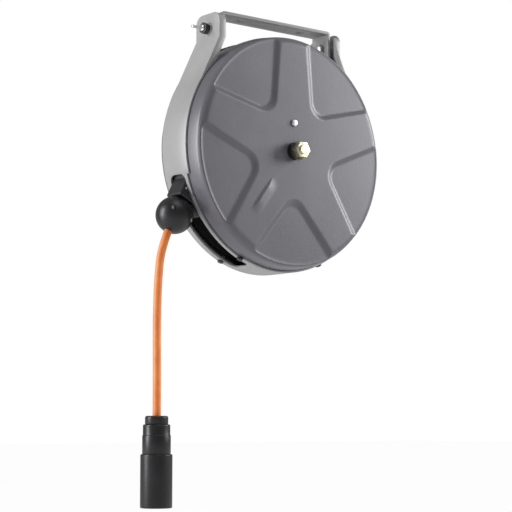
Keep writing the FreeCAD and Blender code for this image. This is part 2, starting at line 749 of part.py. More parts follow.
# Drum: hub on two bushes, barrel, two flanges and the bolts that tie them
keep("drum_hub", turned("drum_hub", [("bush_radius", "-" + flange_face), ("hub_radius", "-" + flange_face),
                                     ("hub_radius", flange_face), ("bush_radius", flange_face)]))
bushes = []
for low, high in (("-" + flange_face, "-%s + bush_length" % flange_face),
                  ("%s - bush_length" % flange_face, flange_face)):
    bushes.append(tube("bush_radius", "axle_radius + running_gap", low, high))
keep("drum_bushes", group(*bushes))
keep("drum_barrel", turned("drum_barrel", [("barrel_radius - barrel_sheet", "-" + drum_half),
                                           ("barrel_radius", "-" + drum_half), ("barrel_radius", drum_half),
                                           ("barrel_radius - barrel_sheet", drum_half)]))
tie_turns = ["%d" % (45 + 90 * number) for number in range(4)]
tie_holes = [rod("tie_radius", "y", "-through", "through", x="tie_place", turn=turn) for turn in tie_turns]


def flange(low, high, rim_side):
    """A drum flange with a rolled rim."""
    disc = tube("drum_radius", "hub_radius", low, high)
    rim = tube("drum_radius", "drum_radius - flange_lip", *rim_side)
    return cut(fuse(disc, rim), *tie_holes)


lip_edge = "(%s + flange_lip_depth)" % flange_face
keep("front_flange", flange("-" + flange_face, "-" + drum_half, ("-" + lip_edge, "-" + drum_half)))
keep("rear_flange", flange(drum_half, flange_face, (drum_half, lip_edge)))
case_base = "(%s + cover_sheet)" % flange_face
case_lip = "(%s + spring_case_depth)" % flange_face
rivets = []
for turn in tie_turns:
    shank = rod("tie_radius", "y", "-" + case_base, flange_face, x="tie_place", turn=turn)
    front_head = rod("tie_head_radius", "y", "-%s - tie_head_height" % case_base, "-" + case_base,
                     x="tie_place", turn=turn)
    rear_head = rod("tie_head_radius", "y", flange_face, "%s + tie_head_height" % flange_face, x="tie_place",
                    turn=turn)
    rivets.append(fuse(shank, front_head, rear_head))
keep("tie_rivets", group(*rivets))

# Spring case on the front flange, its lid and the mainspring
case_wall = "(spring_case_radius - drum_sheet)"
lip_radius = "(spring_case_radius + spring_case_lip)"
cup = turned("spring_case", [("spring_case_bore", "-" + flange_face), ("spring_case_radius", "-" + flange_face),
                             ("spring_case_radius", "-%s + drum_sheet" % case_lip),
                             (lip_radius, "-%s + drum_sheet" % case_lip), (lip_radius, "-" + case_lip),
                             (case_wall, "-" + case_lip), (case_wall, "-" + case_base),
                             ("spring_case_bore", "-" + case_base)])
lid_front = "(-%s - drum_sheet)" % case_lip
lid_screws = []
lid_holes = []
for number in range(6):
    at = {"x": "spring_case_radius + spring_case_lip / 2", "turn": "%d" % (60 * number)}
    lid_holes.append(rod("small_screw_radius", "y", "-through", "0", **at))
    shank = rod("small_screw_radius", "y", lid_front, "%s + small_screw_length" % lid_front, **at)
    head = rod("small_head_radius", "y", "%s - small_head_height" % lid_front, lid_front, **at)
    lid_screws.append(fuse(shank, head))
keep("spring_case", cut(cup, *(tie_holes + lid_holes)))
keep("spring_case_lid", cut(tube(lip_radius, "lid_bore", lid_front, "-" + case_lip),
                            *lid_holes))
keep("lid_screws", group(*lid_screws))


def spring_spiral():
    """The flat strip coiled in half turns that grow evenly from the axle to the case."""
    strip = value("spring_strip")
    half_turns = 2 * int(value("spring_turns"))
    first = value("axle_radius + fit_gap") + strip / 2
    last = value(case_wall) - value("fit_gap") - strip / 2
    step = (last - first) / half_turns

    def side(shift):
        arcs = []
        centre, radius, way = 0.0, first + shift, 1
        for _ in range(half_turns):
            start = FreeCAD.Vector(centre + way * radius, 0, 0)
            end = FreeCAD.Vector(centre - way * radius, 0, 0)
            arcs.append(Part.Arc(start, FreeCAD.Vector(centre, 0, way * radius), end).toShape())
            centre += way * step
            radius += step
            way = -way
        return arcs

    inner_side = side(-strip / 2)
    outer_side = side(strip / 2)
    ends = [Part.LineSegment(inner_side[0].Vertexes[0].Point, outer_side[0].Vertexes[0].Point).toShape(),
            Part.LineSegment(inner_side[-1].Vertexes[-1].Point, outer_side[-1].Vertexes[-1].Point).toShape()]
    edges = Part.__sortEdges__(inner_side + outer_side + ends)
    face = Part.Face(Part.Wire(edges))
    return face.extrude(FreeCAD.Vector(0, value("spring_width"), 0))


spring = doc.addObject("Part::Feature", "mainspring")
spring.Shape = spring_spiral()
spring_middle = value("-(%s + %s) / 2" % (case_base, case_lip))
spring.Placement.Base = FreeCAD.Vector(0, spring_middle - value("spring_width") / 2, -value("axle_drop"))
keep("mainspring", spring)

# Ratchet ring on the rear flange: plain over most of its edge, with a few teeth where the drum can stop
teeth = []
for number in range(3):
    tooth = cut(sector("ratchet_tip", flange_face, "%s + ratchet_sheet" % flange_face,
                       "ratchet_tooth_start + %d * ratchet_tooth_step" % number, "ratchet_tooth_angle"),
                rod("ratchet_base - ratchet_sheet / 2", "y", "-through", "through"))
    teeth.append(tooth)
ratchet = tube("ratchet_base", "ratchet_inner", flange_face, "%s + ratchet_sheet" % flange_face)
keep("ratchet_ring", fuse(ratchet, *teeth))

# Slip rings behind the rear flange, and the brushes that touch them
keep("slip_ring_carrier", tube("ring_carrier_radius", "hub_radius + carrier_gap", flange_face,
                               "%s + ring_carrier_depth" % flange_face))
ring_middles = ["%s + %d * slip_ring_pitch" % (flange_face, number) for number in (1, 2, 3)]
keep("slip_rings", group(*[tube("slip_ring_radius", "ring_carrier_radius",
                                "%s - slip_ring_width / 2" % middle, "%s + slip_ring_width / 2" % middle)
                           for middle in ring_middles]))
holder = block("slip_ring_radius + holder_gap", "holder_end", "%s + holder_rise" % flange_face, rear_inside,
               "-holder_half_width", "holder_half_width", turn="90")


def brush(start, end, middle, slack):
    """A brush, or the pocket it slides in, at one slip ring."""
    half = "(brush_half_sheet + %s)" % slack
    return block(start, end, "%s - %s" % (middle, half), "%s + %s" % (middle, half),
                 "-brush_half_width - %s" % slack, "brush_half_width + %s" % slack, turn="90")


pockets = [brush("slip_ring_radius", "brush_end + fit_gap", middle, "running_gap")
           for middle in ring_middles]
keep("brush_holder", cut(holder, *(pockets + brush_screw_holes)))
keep("brushes", group(*[brush("slip_ring_radius + running_gap", "brush_end", middle, "0")
                        for middle in ring_middles]))
screws = []
for side in brush_screw_places:
    at = {"x": "brush_screw_place", "z": side, "turn": "90"}
    shank = rod("small_screw_radius", "y", brush_screw_start, rear_face, **at)
    head = rod("small_head_radius", "y", rear_face, "%s + small_head_height" % rear_face, **at)
    screws.append(fuse(shank, head))
keep("brush_screws", group(*screws))

# Pawl above the axle: it swings on a pin of the rear cover, and a leaf spring stands beside it
pawl_low = "(%s + pawl_lift)" % flange_face
pawl_high = "(%s + ratchet_sheet - fit_gap)" % flange_face
pin_start = "(%s + pawl_lift / 2)" % flange_face
on_pawl = {"turn": "-90"}
at_pin = {"x": "pawl_pin_place", "turn": "-90"}
pawl_hub = rod("pawl_hub_radius", "y", pawl_low, pawl_high, **at_pin)
pawl_arm = block("pawl_tip_place + pawl_tip_length / 2", "pawl_pin_place", pawl_low, pawl_high,
                 "-pawl_arm_half_width", "pawl_arm_half_width", **on_pawl)
pawl_tip = block("pawl_tip_place", "pawl_tip_place + pawl_tip_length", pawl_low, pawl_high,
                 "-pawl_tip_half_width", "pawl_tip_half_width", **on_pawl)
pawl_hole = rod("pawl_pin_radius + running_gap", "y", "0", "through", **at_pin)
keep("pawl", cut(fuse(pawl_hub, pawl_arm, pawl_tip), pawl_hole))
pin = rod("pawl_pin_radius", "y", pin_start, rear_inside, **at_pin)
pin_foot = rod("pawl_foot_radius", "y", "%s + fit_gap" % pawl_high, rear_inside, **at_pin)
keep("pawl_pin", fuse(pin, pin_foot))
leaf_side = "(pawl_hub_radius + leaf_gap)"
leaf_top = "(pawl_pin_place + leaf_overhang)"
leaf = block("pawl_tip_place + 2 * pawl_tip_length", leaf_top, pawl_low, pawl_high, leaf_side,
             "%s + leaf_sheet" % leaf_side, **on_pawl)
leaf_foot = block("%s - leaf_foot_length" % leaf_top, leaf_top, pawl_low, rear_inside, leaf_side,
                  "%s + leaf_foot_sheet" % leaf_side, **on_pawl)
keep("pawl_spring", fuse(leaf, leaf_foot))

# Supply entry: a hollow threaded gland through the rear cover, with a locknut inside
gland_at = {"x": "gland_place", "turn": "-gland_angle"}
gland_nut_end = "(%s - gland_nut_height)" % rear_inside
collar_top = "(%s + gland_collar_height)" % rear_face
cap_top = "(%s + gland_cap_height)" % collar_top
thread = rod("gland_radius", "y", "%s - gland_thread_end" % gland_nut_end, collar_top, **gland_at)
collar = rod("gland_nut_flat / 2", "y", rear_face, collar_top, sides=6, **gland_at)
cap = rod("gland_nut_flat / 2 - gland_cap_inset", "y", collar_top, cap_top, **gland_at)
cap = round_edges(cap, "gland_cap_round", lambda edge, middle: middle.y > value(cap_top) - 1e-6)
bore = rod("gland_bore", "y", "0", "through", **gland_at)
keep("supply_gland", cut(fuse(thread, collar, cap), bore))
keep("gland_locknut", cut(rod("gland_nut_flat / 2", "y", gland_nut_end, rear_inside, sides=6, **gland_at),
                          rod("gland_radius", "y", "0", "through", **gland_at)))

# Cord mouth, in a frame turned so that the cord leaves straight down at the winding's radius
mouth = {"turn": "mouth_tilt"}
cord_x = "-winding_radius"
mouth_front = "(ball_place - sqrt(ball_radius ^ 2 - mouth_hole ^ 2) - ball_gap)"
mouth_half = "(slot_width / 2 - mouth_slack)"
pocket_half_y = "(%s - mouth_wall)" % mouth_half
pocket_half_x = "(roller_room + 2 * wide_roller_radius)"
pocket_end = "(wide_roller_place + wide_roller_radius + pocket_floor)"
body = block("%s - mouth_half_width" % cord_x, "%s + mouth_half_width" % cord_x, "-" + mouth_half, mouth_half,
             "-" + mouth_front, "-mouth_inner", **mouth)
body = round_edges(body, "mouth_corner", lambda edge, middle: middle.z < -value("axle_drop + cord_radius"))
lip_top = "(%s - cover_sheet - fit_gap)" % cover_radius
lip = cut(sector(lip_top, "-mouth_flange_width / 2", "mouth_flange_width / 2", "mouth_lip_start",
                 "mouth_lip_angle"), rod("%s - mouth_flange_sheet" % lip_top, "y", "-band_width", "band_width"))
pocket = block("%s - %s" % (cord_x, pocket_half_x), "%s + %s" % (cord_x, pocket_half_x), "-" + pocket_half_y,
               pocket_half_y, "-" + pocket_end, "0", **mouth)
throat = rod("mouth_hole", "z", "-through", "0", x=cord_x, **mouth)
wide_offset = "(cord_radius + roller_gap + wide_roller_radius)"
slim_offset = "(cord_radius + roller_gap + slim_roller_radius)"
pin_length_x = "(%s + mouth_wall / 2)" % pocket_half_x
pins = []
pin_holes = []
for side in ("-", "+"):
    for bank in (pins, pin_holes):
        bank.append(rod("roller_pin_radius", "y", "-" + mouth_half, mouth_half,
                        x="%s %s %s" % (cord_x, side, wide_offset), z="-wide_roller_place", **mouth))
        bank.append(rod("roller_pin_radius", "x", "%s - %s" % (cord_x, pin_length_x),
                        "%s + %s" % (cord_x, pin_length_x), y="%s%s" % (side, slim_offset),
                        z="-slim_roller_place", **mouth))
keep("mouth_block", cut(fuse(body, lip), pocket, throat, *(pin_holes + mouth_holes)))
keep("roller_pins", group(*pins))
screws = []
for side in ("-", ""):
    at = {"y": side + mouth_screw_y, "turn": "mouth_screw_angle"}
    shank = rod("small_screw_radius", "x", "%s - mouth_flange_sheet" % lip_top, "band_radius", **at)
    head = rod("small_head_radius", "x", "band_radius", "band_radius + small_head_height", **at)
    screws.append(fuse(shank, head))
keep("mouth_screws", group(*screws))


def roller(label, radius, along, half, **where):
    """A small roller with a running bore on its pin."""
    solid = rod(radius, along, "-" + half if along == "y" else "%s - %s" % (cord_x, half),
                half if along == "y" else "%s + %s" % (cord_x, half), **where)
    hole = rod("roller_pin_radius + running_gap", along, "-through", "through", **where)
    keep(label, cut(solid, hole))


roller("roller_outer", "wide_roller_radius", "y", "(%s - mouth_slack)" % pocket_half_y,
       x="%s - %s" % (cord_x, wide_offset), z="-wide_roller_place", **mouth)
roller("roller_inner", "wide_roller_radius", "y", "(%s - mouth_slack)" % pocket_half_y,
       x="%s + %s" % (cord_x, wide_offset), z="-wide_roller_place", **mouth)
roller("roller_front", "slim_roller_radius", "x", "(%s - mouth_slack)" % pocket_half_x, y="-" + slim_offset,
       z="-slim_roller_place", **mouth)
roller("roller_rear", "slim_roller_radius", "x", "(%s - mouth_slack)" % pocket_half_x, y=slim_offset,
       z="-slim_roller_place", **mouth)


# Cord on the drum: a plain core, and over it one tube that fills the layer below the last, climbs and comes
# half way back, so that its end leaves the drum in the middle of its width
def biarc(start, way, end, end_way):
    """Two arcs that join two points along the directions given there."""
    span = end - start
    both = way + end_way
    square = 2 * (way.dot(end_way) - 1)
    reach = span.dot(both)
    length = (reach - math.sqrt(reach * reach - square * span.dot(span))) / square
    joint = (start + way * length + end - end_way * length) * 0.5
    return [arc_from(start, way, joint), arc_from(joint, (end - end_way * length - joint).normalize(), end)]


def arc_from(start, way, end):
    chord = end - start
    sag = chord.cross(way.cross(chord)).normalize()
    half_turn = math.acos(max(-1.0, min(1.0, way.dot(chord) / chord.Length)))
    middle = (start + end) * 0.5 + sag * (chord.Length / 2 * math.tan(half_turn / 2))
    return Part.Arc(start, middle, end)


def winding_quarters():
    """Quarter turns from one side of the drum to its middle, and those of the full layer below."""
    room = value("%s - cord_radius - winding_side_gap" % drum_half)
    upper_quarters = int(4 * room / value("winding_pitch") + 1e-6)
    return 2 * upper_quarters, upper_quarters


def winding_point(quarter):
    """Place and direction of the wound cord's centre line after a number of quarter turns."""
    lower_quarters, upper_quarters = winding_quarters()
    pitch = value("winding_pitch")
    upper = value("winding_radius")
    lower = upper - pitch
    wide = pitch * upper_quarters / 4
    if quarter <= lower_quarters:
        radius, y, slope = lower, wide - pitch * (lower_quarters - quarter) / 4, pitch
    else:
        radius, y, slope = upper, wide - pitch * (quarter - lower_quarters - 1) / 4, -pitch
    angle = math.radians(180 + 90 * (quarter - lower_quarters - 1 - upper_quarters))
    point = FreeCAD.Vector(radius * math.cos(angle), y, radius * math.sin(angle))
    way = FreeCAD.Vector(-radius * math.sin(angle), slope / (2 * math.pi), radius * math.cos(angle))
    return point, way.normalize()


def wound_cord():
    quarters = sum(winding_quarters()) + 1
    stub = 2 * value("cord_radius")
    stations = [winding_point(quarter) for quarter in range(quarters + 1)]
    first, first_way = stations[0]
    last, last_way = stations[-1]
    edges = [Part.LineSegment(first - first_way * stub, first)]
    for (start, way), (end, end_way) in zip(stations, stations[1:]):
        edges += biarc(start, way, end, end_way)
    edges.append(Part.LineSegment(last, last + last_way * stub))
    path = Part.Wire([edge.toShape() for edge in edges])
    section = Part.Wire([Part.Circle(first - first_way * stub, first_way, value("cord_radius")).toShape()])
    solid = path.makePipeShell([section], True, False)
    points = []
    for edge in edges:
        points += edge.toShape().discretize(int(edge.toShape().Length / 3) + 2)[:-1]
    nearest = 1e9
    clear_of_itself = int(6 * value("cord_radius") / 3)
    for index, point in enumerate(points):
        for other in points[index + clear_of_itself * 2:]:
            nearest = min(nearest, point.distanceToPoint(other))
    print("wound cord: length %.0f, least gap to itself %.2f, volume over section times length %.4f"
          % (path.Length, nearest - 2 * value("cord_radius"),
             solid.Volume / (math.pi * value("cord_radius") ** 2 * path.Length)))
    return solid


keep("winding_core", tube("winding_radius - winding_pitch - cord_radius - winding_gap", "barrel_radius",
                          "-%s + winding_gap" % drum_half, "%s - winding_gap" % drum_half))
wound = doc.addObject("Part::Feature", "cord_winding")
wound.Shape = wound_cord()
wound.Placement = FreeCAD.Placement(FreeCAD.Vector(0, 0, -value("axle_drop")),
                                    FreeCAD.Rotation(FreeCAD.Vector(0, 1, 0), value("mouth_tilt")))
keep("cord_winding", wound)

# Cord from the drum to the middle of the ball, and its free hanging stretch
keep("cord_inner_run", rod("cord_radius", "z", "-ball_place", "-inner_run_start", x=cord_x, **mouth))


def cord_route():
    """Route points in X and Z from the axle: along the mouth's line, then down to the connector."""
    tilt = math.radians(value("mouth_tilt"))
    ball_x = -value("winding_radius") * math.cos(tilt) - value("ball_place") * math.sin(tilt)
    ball_z = value("winding_radius") * math.sin(tilt) - value("ball_place") * math.cos(tilt)
    end_x = value("connector_x")
    end_z = -value("connector_top")
    points = [(ball_x, ball_z), (ball_x - 42 * math.sin(tilt), ball_z - 42 * math.cos(tilt)), (-172.2, -170),
              (-173.4, -222), (end_x, -285), (end_x, end_z)]
    return [FreeCAD.Vector(x, 0, z) for x, z in points]


def tube_along(points, radius):
    """Straight runs joined by arcs as large as the runs allow."""
    edges = []
    radii = []
    at = points[0]
    for before, corner, after in zip(points, points[1:], points[2:]):
        back = (before - corner).normalize()
        ahead = (after - corner).normalize()
        half_turn = (math.pi - back.getAngle(ahead)) / 2
        reach = 0.45 * min((before - corner).Length, (after - corner).Length)
        bend = reach / math.tan(half_turn)
        start = corner + back * reach
        end = corner + ahead * reach
        inward = (back + ahead).normalize()
        middle = corner + inward * (bend / math.cos(half_turn) - bend)
        edges += [Part.LineSegment(at, start), Part.Arc(start, middle, end)]
        radii.append(bend)
        at = end
    edges.append(Part.LineSegment(at, points[-1]))
    path = Part.Wire([edge.toShape() for edge in edges])
    section = Part.Wire([Part.Circle(points[0], points[1] - points[0], radius).toShape()])
    solid = path.makePipeShell([section], True, False)
    print("free cord: length %.1f, radii" % path.Length, [round(bend) for bend in radii],
          "volume over section times length %.4f" % (solid.Volume / (math.pi * radius ** 2 * path.Length)))
    return solid


free = doc.addObject("Part::Feature", "cord_free")
free.Shape = tube_along(cord_route(), value("cord_radius"))
free.Placement.Base = FreeCAD.Vector(0, 0, -value("axle_drop"))
keep("cord_free", free)

# Ball stop: two half shells clamped on the cord by two screws
ball_halves = {}
for label, side in (("ball_half_front", -1), ("ball_half_rear", 1)):
    ball = doc.addObject("Part::Sphere", "ball")
    bind(ball, Radius="ball_radius")
    place(ball, cord_x, "0", "-ball_place", **mouth)
    edge = "%d * ball_joint_gap / 2" % side
    rim = "%d * 2 * ball_radius" % side
    low, high = sorted((edge, rim), key=value)
    half = block("%s - 2 * ball_radius" % cord_x, "%s + 2 * ball_radius" % cord_x, low, high,
                 "-ball_place - 2 * ball_radius", "-ball_place + 2 * ball_radius", **mouth)
    ball_halves[label] = common(ball, half)
ball_screws = []
screw_ways = []
for side in ("-", "+"):
    at = {"x": "%s %s ball_screw_place" % (cord_x, side), "z": "-ball_place"}
    at.update(mouth)
    shank = rod("small_screw_radius", "y", "-ball_head_depth", "ball_screw_end", **at)
    head = rod("small_head_radius", "y", "-ball_head_depth - small_head_height", "-ball_head_depth", **at)
    ball_screws.append(fuse(shank, head))
    screw_ways += [shank, rod("small_head_radius + fit_gap", "y", "-ball_radius", "-ball_head_depth", **at)]
for label, half in ball_halves.items():
    cord_way = rod("cord_radius + running_gap", "z", "-through", "0", x=cord_x, **mouth)
    keep(label, cut(half, cord_way, *screw_ways))
keep("ball_screws", group(*ball_screws))

# Inline connector that hangs from the cord's end
collar_end = "(connector_top + collar_length)"
sleeve_end = "(%s + sleeve_length)" % collar_end
connector_end = "(%s + connector_length)" % sleeve_end
on_connector = {"x": "connector_x"}
collar = rod("collar_radius", "z", "-" + collar_end, "-connector_top", **on_connector)
top_edge = "(axle_drop + connector_top)"
keep("connector_gland", round_edges(collar, "collar_round",
                                    lambda edge, middle: middle.z > -value(top_edge) - 1e-6))
sleeve = rod("sleeve_radius", "z", "-" + sleeve_end, "-" + collar_end, **on_connector)
sleeve = round_edges(sleeve, "sleeve_round",
                     lambda edge, middle: middle.z > -value("axle_drop + " + collar_end) - 1e-6)
sleeve = fuse(sleeve, rod("sleeve_radius + sleeve_step", "z", "-" + sleeve_end,
                          "-%s - sleeve_step_place" % collar_end, **on_connector))
keep("connector_sleeve", cut(sleeve, rod("sleeve_radius - connector_wall", "z", "-" + connector_end,
                                         "-%s - connector_floor" % collar_end, **on_connector)))
shell = rod("connector_radius", "z", "-" + connector_end, "-" + sleeve_end, **on_connector)
shell = round_edges(shell, "connector_round",
                    lambda edge, middle: edge.Length > 2 * math.pi * value("connector_radius") - 1)
shell_bore = rod("connector_radius - connector_wall", "z", "-%s - connector_round" % connector_end,
                 "-%s - connector_floor" % sleeve_end, **on_connector)
connector_screws = []
connector_screw_holes = []
head_bottom = "(small_head_height - %s)" % connector_end
for side in ("-", "+"):
    at = {"x": "connector_x %s (connector_radius - connector_screw_inset)" % side}
    head = rod("small_head_radius", "z", "-" + connector_end, head_bottom, **at)
    shank = rod("small_screw_radius", "z", head_bottom, "%s + connector_screw_length" % head_bottom, **at)
    connector_screws.append(fuse(head, shank))
    head_way = rod("small_head_radius + fit_gap", "z", "-through - " + connector_end, head_bottom, **at)
    connector_screw_holes += [head_way, shank]
keep("connector_body", cut(shell, shell_bore))
insert_top = "(insert_depth - %s)" % connector_end
insert = rod("connector_radius - connector_wall - running_gap", "z", "-" + connector_end, insert_top,
             **on_connector)
slot_y = ["-blade_slot_length / 2 - contact_shift", "blade_slot_length / 2 - contact_shift"]
earth_at = {"x": "connector_x", "y": "earth_offset - contact_shift"}
slots = [rod("earth_radius", "z", "-through - " + connector_end, insert_top, **earth_at)]
clip_top = "(%s + clip_length)" % insert_top
clip_way = ["-" + connector_end, "%s - clip_floor" % clip_top]
clips = [cut(rod("earth_radius + clip_wall", "z", insert_top, clip_top, **earth_at),
             rod("earth_radius", "z", *clip_way, **earth_at))]
for side in ("-", "+"):
    middle = "connector_x %s blade_spacing / 2" % side
    inside = ["%s - blade_slot_width / 2" % middle, "%s + blade_slot_width / 2" % middle]
    outside = ["%s - clip_wall" % inside[0], "%s + clip_wall" % inside[1]]
    slots.append(block(*inside, *slot_y, "-through - " + connector_end, insert_top))
    clips.append(cut(block(*outside, *slot_y, insert_top, clip_top), block(*inside, *slot_y, *clip_way)))
keep("socket_insert", cut(insert, *(slots + connector_screw_holes)))
keep("contact_clips", group(*clips))
keep("connector_screws", group(*connector_screws))

# Every feature has to have worked before anything is written
doc.recompute()
for thing in doc.Objects:
    if "Invalid" in thing.State or "Error" in thing.State:
        raise RuntimeError("%s failed: %s" % (thing.Label, thing.State))
for label, thing in sub_parts.items():
    if thing.Shape.isNull() or not thing.Shape.isValid() or not thing.Shape.Solids:
        raise RuntimeError("%s has no valid shape" % label)

os.makedirs("parts", exist_ok=True)
for label, thing in sub_parts.items():
    thing.Shape.exportStep("parts/%s.step" % label)
print("%d sub-parts" % len(sub_parts))
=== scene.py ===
import bpy
import bmesh
import json
import math
from mathutils import Matrix, Vector


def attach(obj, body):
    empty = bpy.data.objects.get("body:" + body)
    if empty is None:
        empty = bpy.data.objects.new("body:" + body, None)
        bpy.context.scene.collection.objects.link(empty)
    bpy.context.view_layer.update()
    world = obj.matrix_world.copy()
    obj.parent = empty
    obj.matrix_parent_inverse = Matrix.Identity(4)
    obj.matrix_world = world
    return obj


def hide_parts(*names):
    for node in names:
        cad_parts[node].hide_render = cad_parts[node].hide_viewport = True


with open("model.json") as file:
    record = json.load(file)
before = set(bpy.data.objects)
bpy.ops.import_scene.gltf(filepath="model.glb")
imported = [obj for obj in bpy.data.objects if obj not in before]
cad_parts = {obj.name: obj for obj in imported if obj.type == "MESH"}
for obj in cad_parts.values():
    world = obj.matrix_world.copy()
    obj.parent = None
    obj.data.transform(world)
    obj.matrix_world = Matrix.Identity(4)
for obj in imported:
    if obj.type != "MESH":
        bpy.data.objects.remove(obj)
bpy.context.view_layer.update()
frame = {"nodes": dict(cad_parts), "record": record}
nodes = frame["nodes"]
mm = 0.001
axle = Vector((0, 0, -172 * mm))       # middle of the axle line
tilt = math.radians(27)                # the mouth's lean from straight down
print("frame loaded, %d nodes" % len(nodes))


def fromMouth(x, y, z):
    # a place given in the mouth's leaning frame, in mm from the axle
    return axle + mm * Vector((math.cos(tilt) * x + math.sin(tilt) * z, y,
                               math.cos(tilt) * z - math.sin(tilt) * x))


def direction(azimuth, height):
    # unit vector away from the object; azimuth 0 is the front, height 0 is level
    azimuth, height = math.radians(azimuth), math.radians(height)
    return Vector((math.sin(azimuth) * math.cos(height), -math.cos(azimuth) * math.cos(height),
                   math.sin(height)))


def placed(name, data):
    piece = bpy.data.objects.new(name, data)
    bpy.context.scene.collection.objects.link(piece)
    return piece


# ---- shader sums written as plain expressions

class Signal:
    def __init__(self, finish, socket):
        self.finish = finish
        self.socket = socket

    def sums(self, operation, other):
        return self.finish.node("ShaderNodeMath", {"operation": operation}, {0: self, 1: other})

    def __add__(self, other):
        return self.sums("ADD", other)

    def __mul__(self, other):
        return self.sums("MULTIPLY", other)

    def __gt__(self, other):
        return self.sums("GREATER_THAN", other)

    def soft(self, low, high):
        # 0 below low, 1 above high, eased between
        return self.finish.node("ShaderNodeMapRange", {"interpolation_type": "SMOOTHSTEP"},
                                {0: self, 1: low, 2: high, 3: 0.0, 4: 1.0})


class Finish:
    def __init__(self, name, **constants):
        self.material = bpy.data.materials.new(name)
        self.material.use_nodes = True
        self.tree = self.material.node_tree
        self.shader = self.tree.nodes["Principled BSDF"]
        for key, value in constants.items():
            self.feed(self.shader.inputs[key.replace("_", " ")], value)
        self.place = self.node("ShaderNodeTexCoord", output="Object")

    def feed(self, socket, value):
        if isinstance(value, Signal):
            self.tree.links.new(value.socket, socket)
        elif isinstance(value, tuple) and socket.type == "RGBA":
            socket.default_value = (*value, 1)
        else:
            socket.default_value = value

    def node(self, kind, settings=None, values=None, output=0):
        made = self.tree.nodes.new(kind)
        for key, value in (settings or {}).items():
            setattr(made, key, value)
        for key, value in (values or {}).items():
            self.feed(made.inputs[key], value)
        return Signal(self, made.outputs[output])

    def noise(self, scale, detail=3.0, rough=0.5, vector=None):
        return self.node("ShaderNodeTexNoise", {}, {"Vector": vector or self.place, "Scale": scale,
                                                    "Detail": detail, "Roughness": rough})

    def stretched(self, x, y, z):
        return self.node("ShaderNodeMapping", {}, {"Vector": self.place, "Scale": (x, y, z)})

    def mixed(self, first, second, amount):
        return self.node("ShaderNodeMix", {"data_type": "RGBA"}, {0: amount, 6: first, 7: second}, output=2)

    def color(self, value):
        self.feed(self.shader.inputs["Base Color"], value)

    def roughness(self, value):
        self.feed(self.shader.inputs["Roughness"], value)

    def bump(self, height, distance, strength, under=None):
        values = {"Height": height, "Distance": distance, "Strength": strength}
        if under:
            values["Normal"] = under
        made = self.node("ShaderNodeBump", {}, values)
        self.feed(self.shader.inputs["Normal"], made)
        return made


# ---- finishes

def powderCoat(name, spec):
    # baked enamel: fine orange peel, faint cloudiness, a little dust where it is rougher
    coat = Finish(name, Metallic=0.0, IOR=1.5, Coat_Weight=spec["coat"], Coat_Roughness=0.35)
    cloud = coat.noise(9.0, 4.0, 0.55)
    grain = coat.noise(900.0, 2.0, 0.6)
    tone = coat.mixed(spec["dark"], spec["light"], cloud.soft(0.3, 0.7))
    coat.color(coat.mixed(tone, spec["fleck"], (grain > 0.62) * 0.25))
    coat.roughness(cloud * 0.12 + (spec["roughness"] - 0.06) + grain * 0.05)
    peel = coat.bump(coat.noise(420.0, 2.0, 0.5), 0.00022, spec["peel"])
    coat.bump(grain, 0.00008, 0.35, peel)
    return coat.material


def turnedSteel(name, spec):
    # plated steel: fine turning lines, small blotches in the plating
    metal = Finish(name, Metallic=1.0, IOR=2.0)
    blotch = metal.noise(260.0, 3.0, 0.6)
    lines = metal.noise(60.0, 2.0, 0.5, metal.stretched(1.0, 40.0, 1.0))
    metal.color(metal.mixed(spec["dark"], spec["light"], blotch.soft(0.25, 0.75)))
    metal.roughness(lines * 0.16 + spec["roughness"])
    metal.bump(lines, 0.00006, 0.4)
    return metal.material


def moulded(name, spec):
    # moulded plastic or rubber: fine grain with soft worn patches
    skin = Finish(name, Metallic=0.0, IOR=1.48)
    grain = skin.noise(spec["grain"], 2.0, 0.6)
    wear = skin.noise(38.0, 4.0, 0.6)
    skin.color(skin.mixed(spec["dark"], spec["light"], wear.soft(0.35, 0.75)))
    skin.roughness(wear * 0.14 + grain * 0.08 + spec["roughness"])
    skin.bump(grain, 0.00012, spec["depth"])
    return skin.material


def cordJacket(name, spec):
    # extruded rubber jacket: long faint draw lines, matt bloom, a few scuffs
    jacket = Finish(name, Metallic=0.0, IOR=1.5, Sheen_Weight=0.08, Sheen_Roughness=0.5)
    bloom = jacket.noise(70.0, 4.0, 0.6)
    scuff = jacket.noise(240.0, 3.0, 0.7, jacket.stretched(1.0, 1.0, 0.15))
    tone = jacket.mixed(spec["dark"], spec["light"], bloom.soft(0.3, 0.7))
    jacket.color(jacket.mixed(tone, spec["scuff"], scuff.soft(0.62, 0.75) * 0.3))
    jacket.roughness(bloom * 0.12 + 0.36)
    jacket.bump(scuff, 0.0001, 0.4)
    return jacket.material


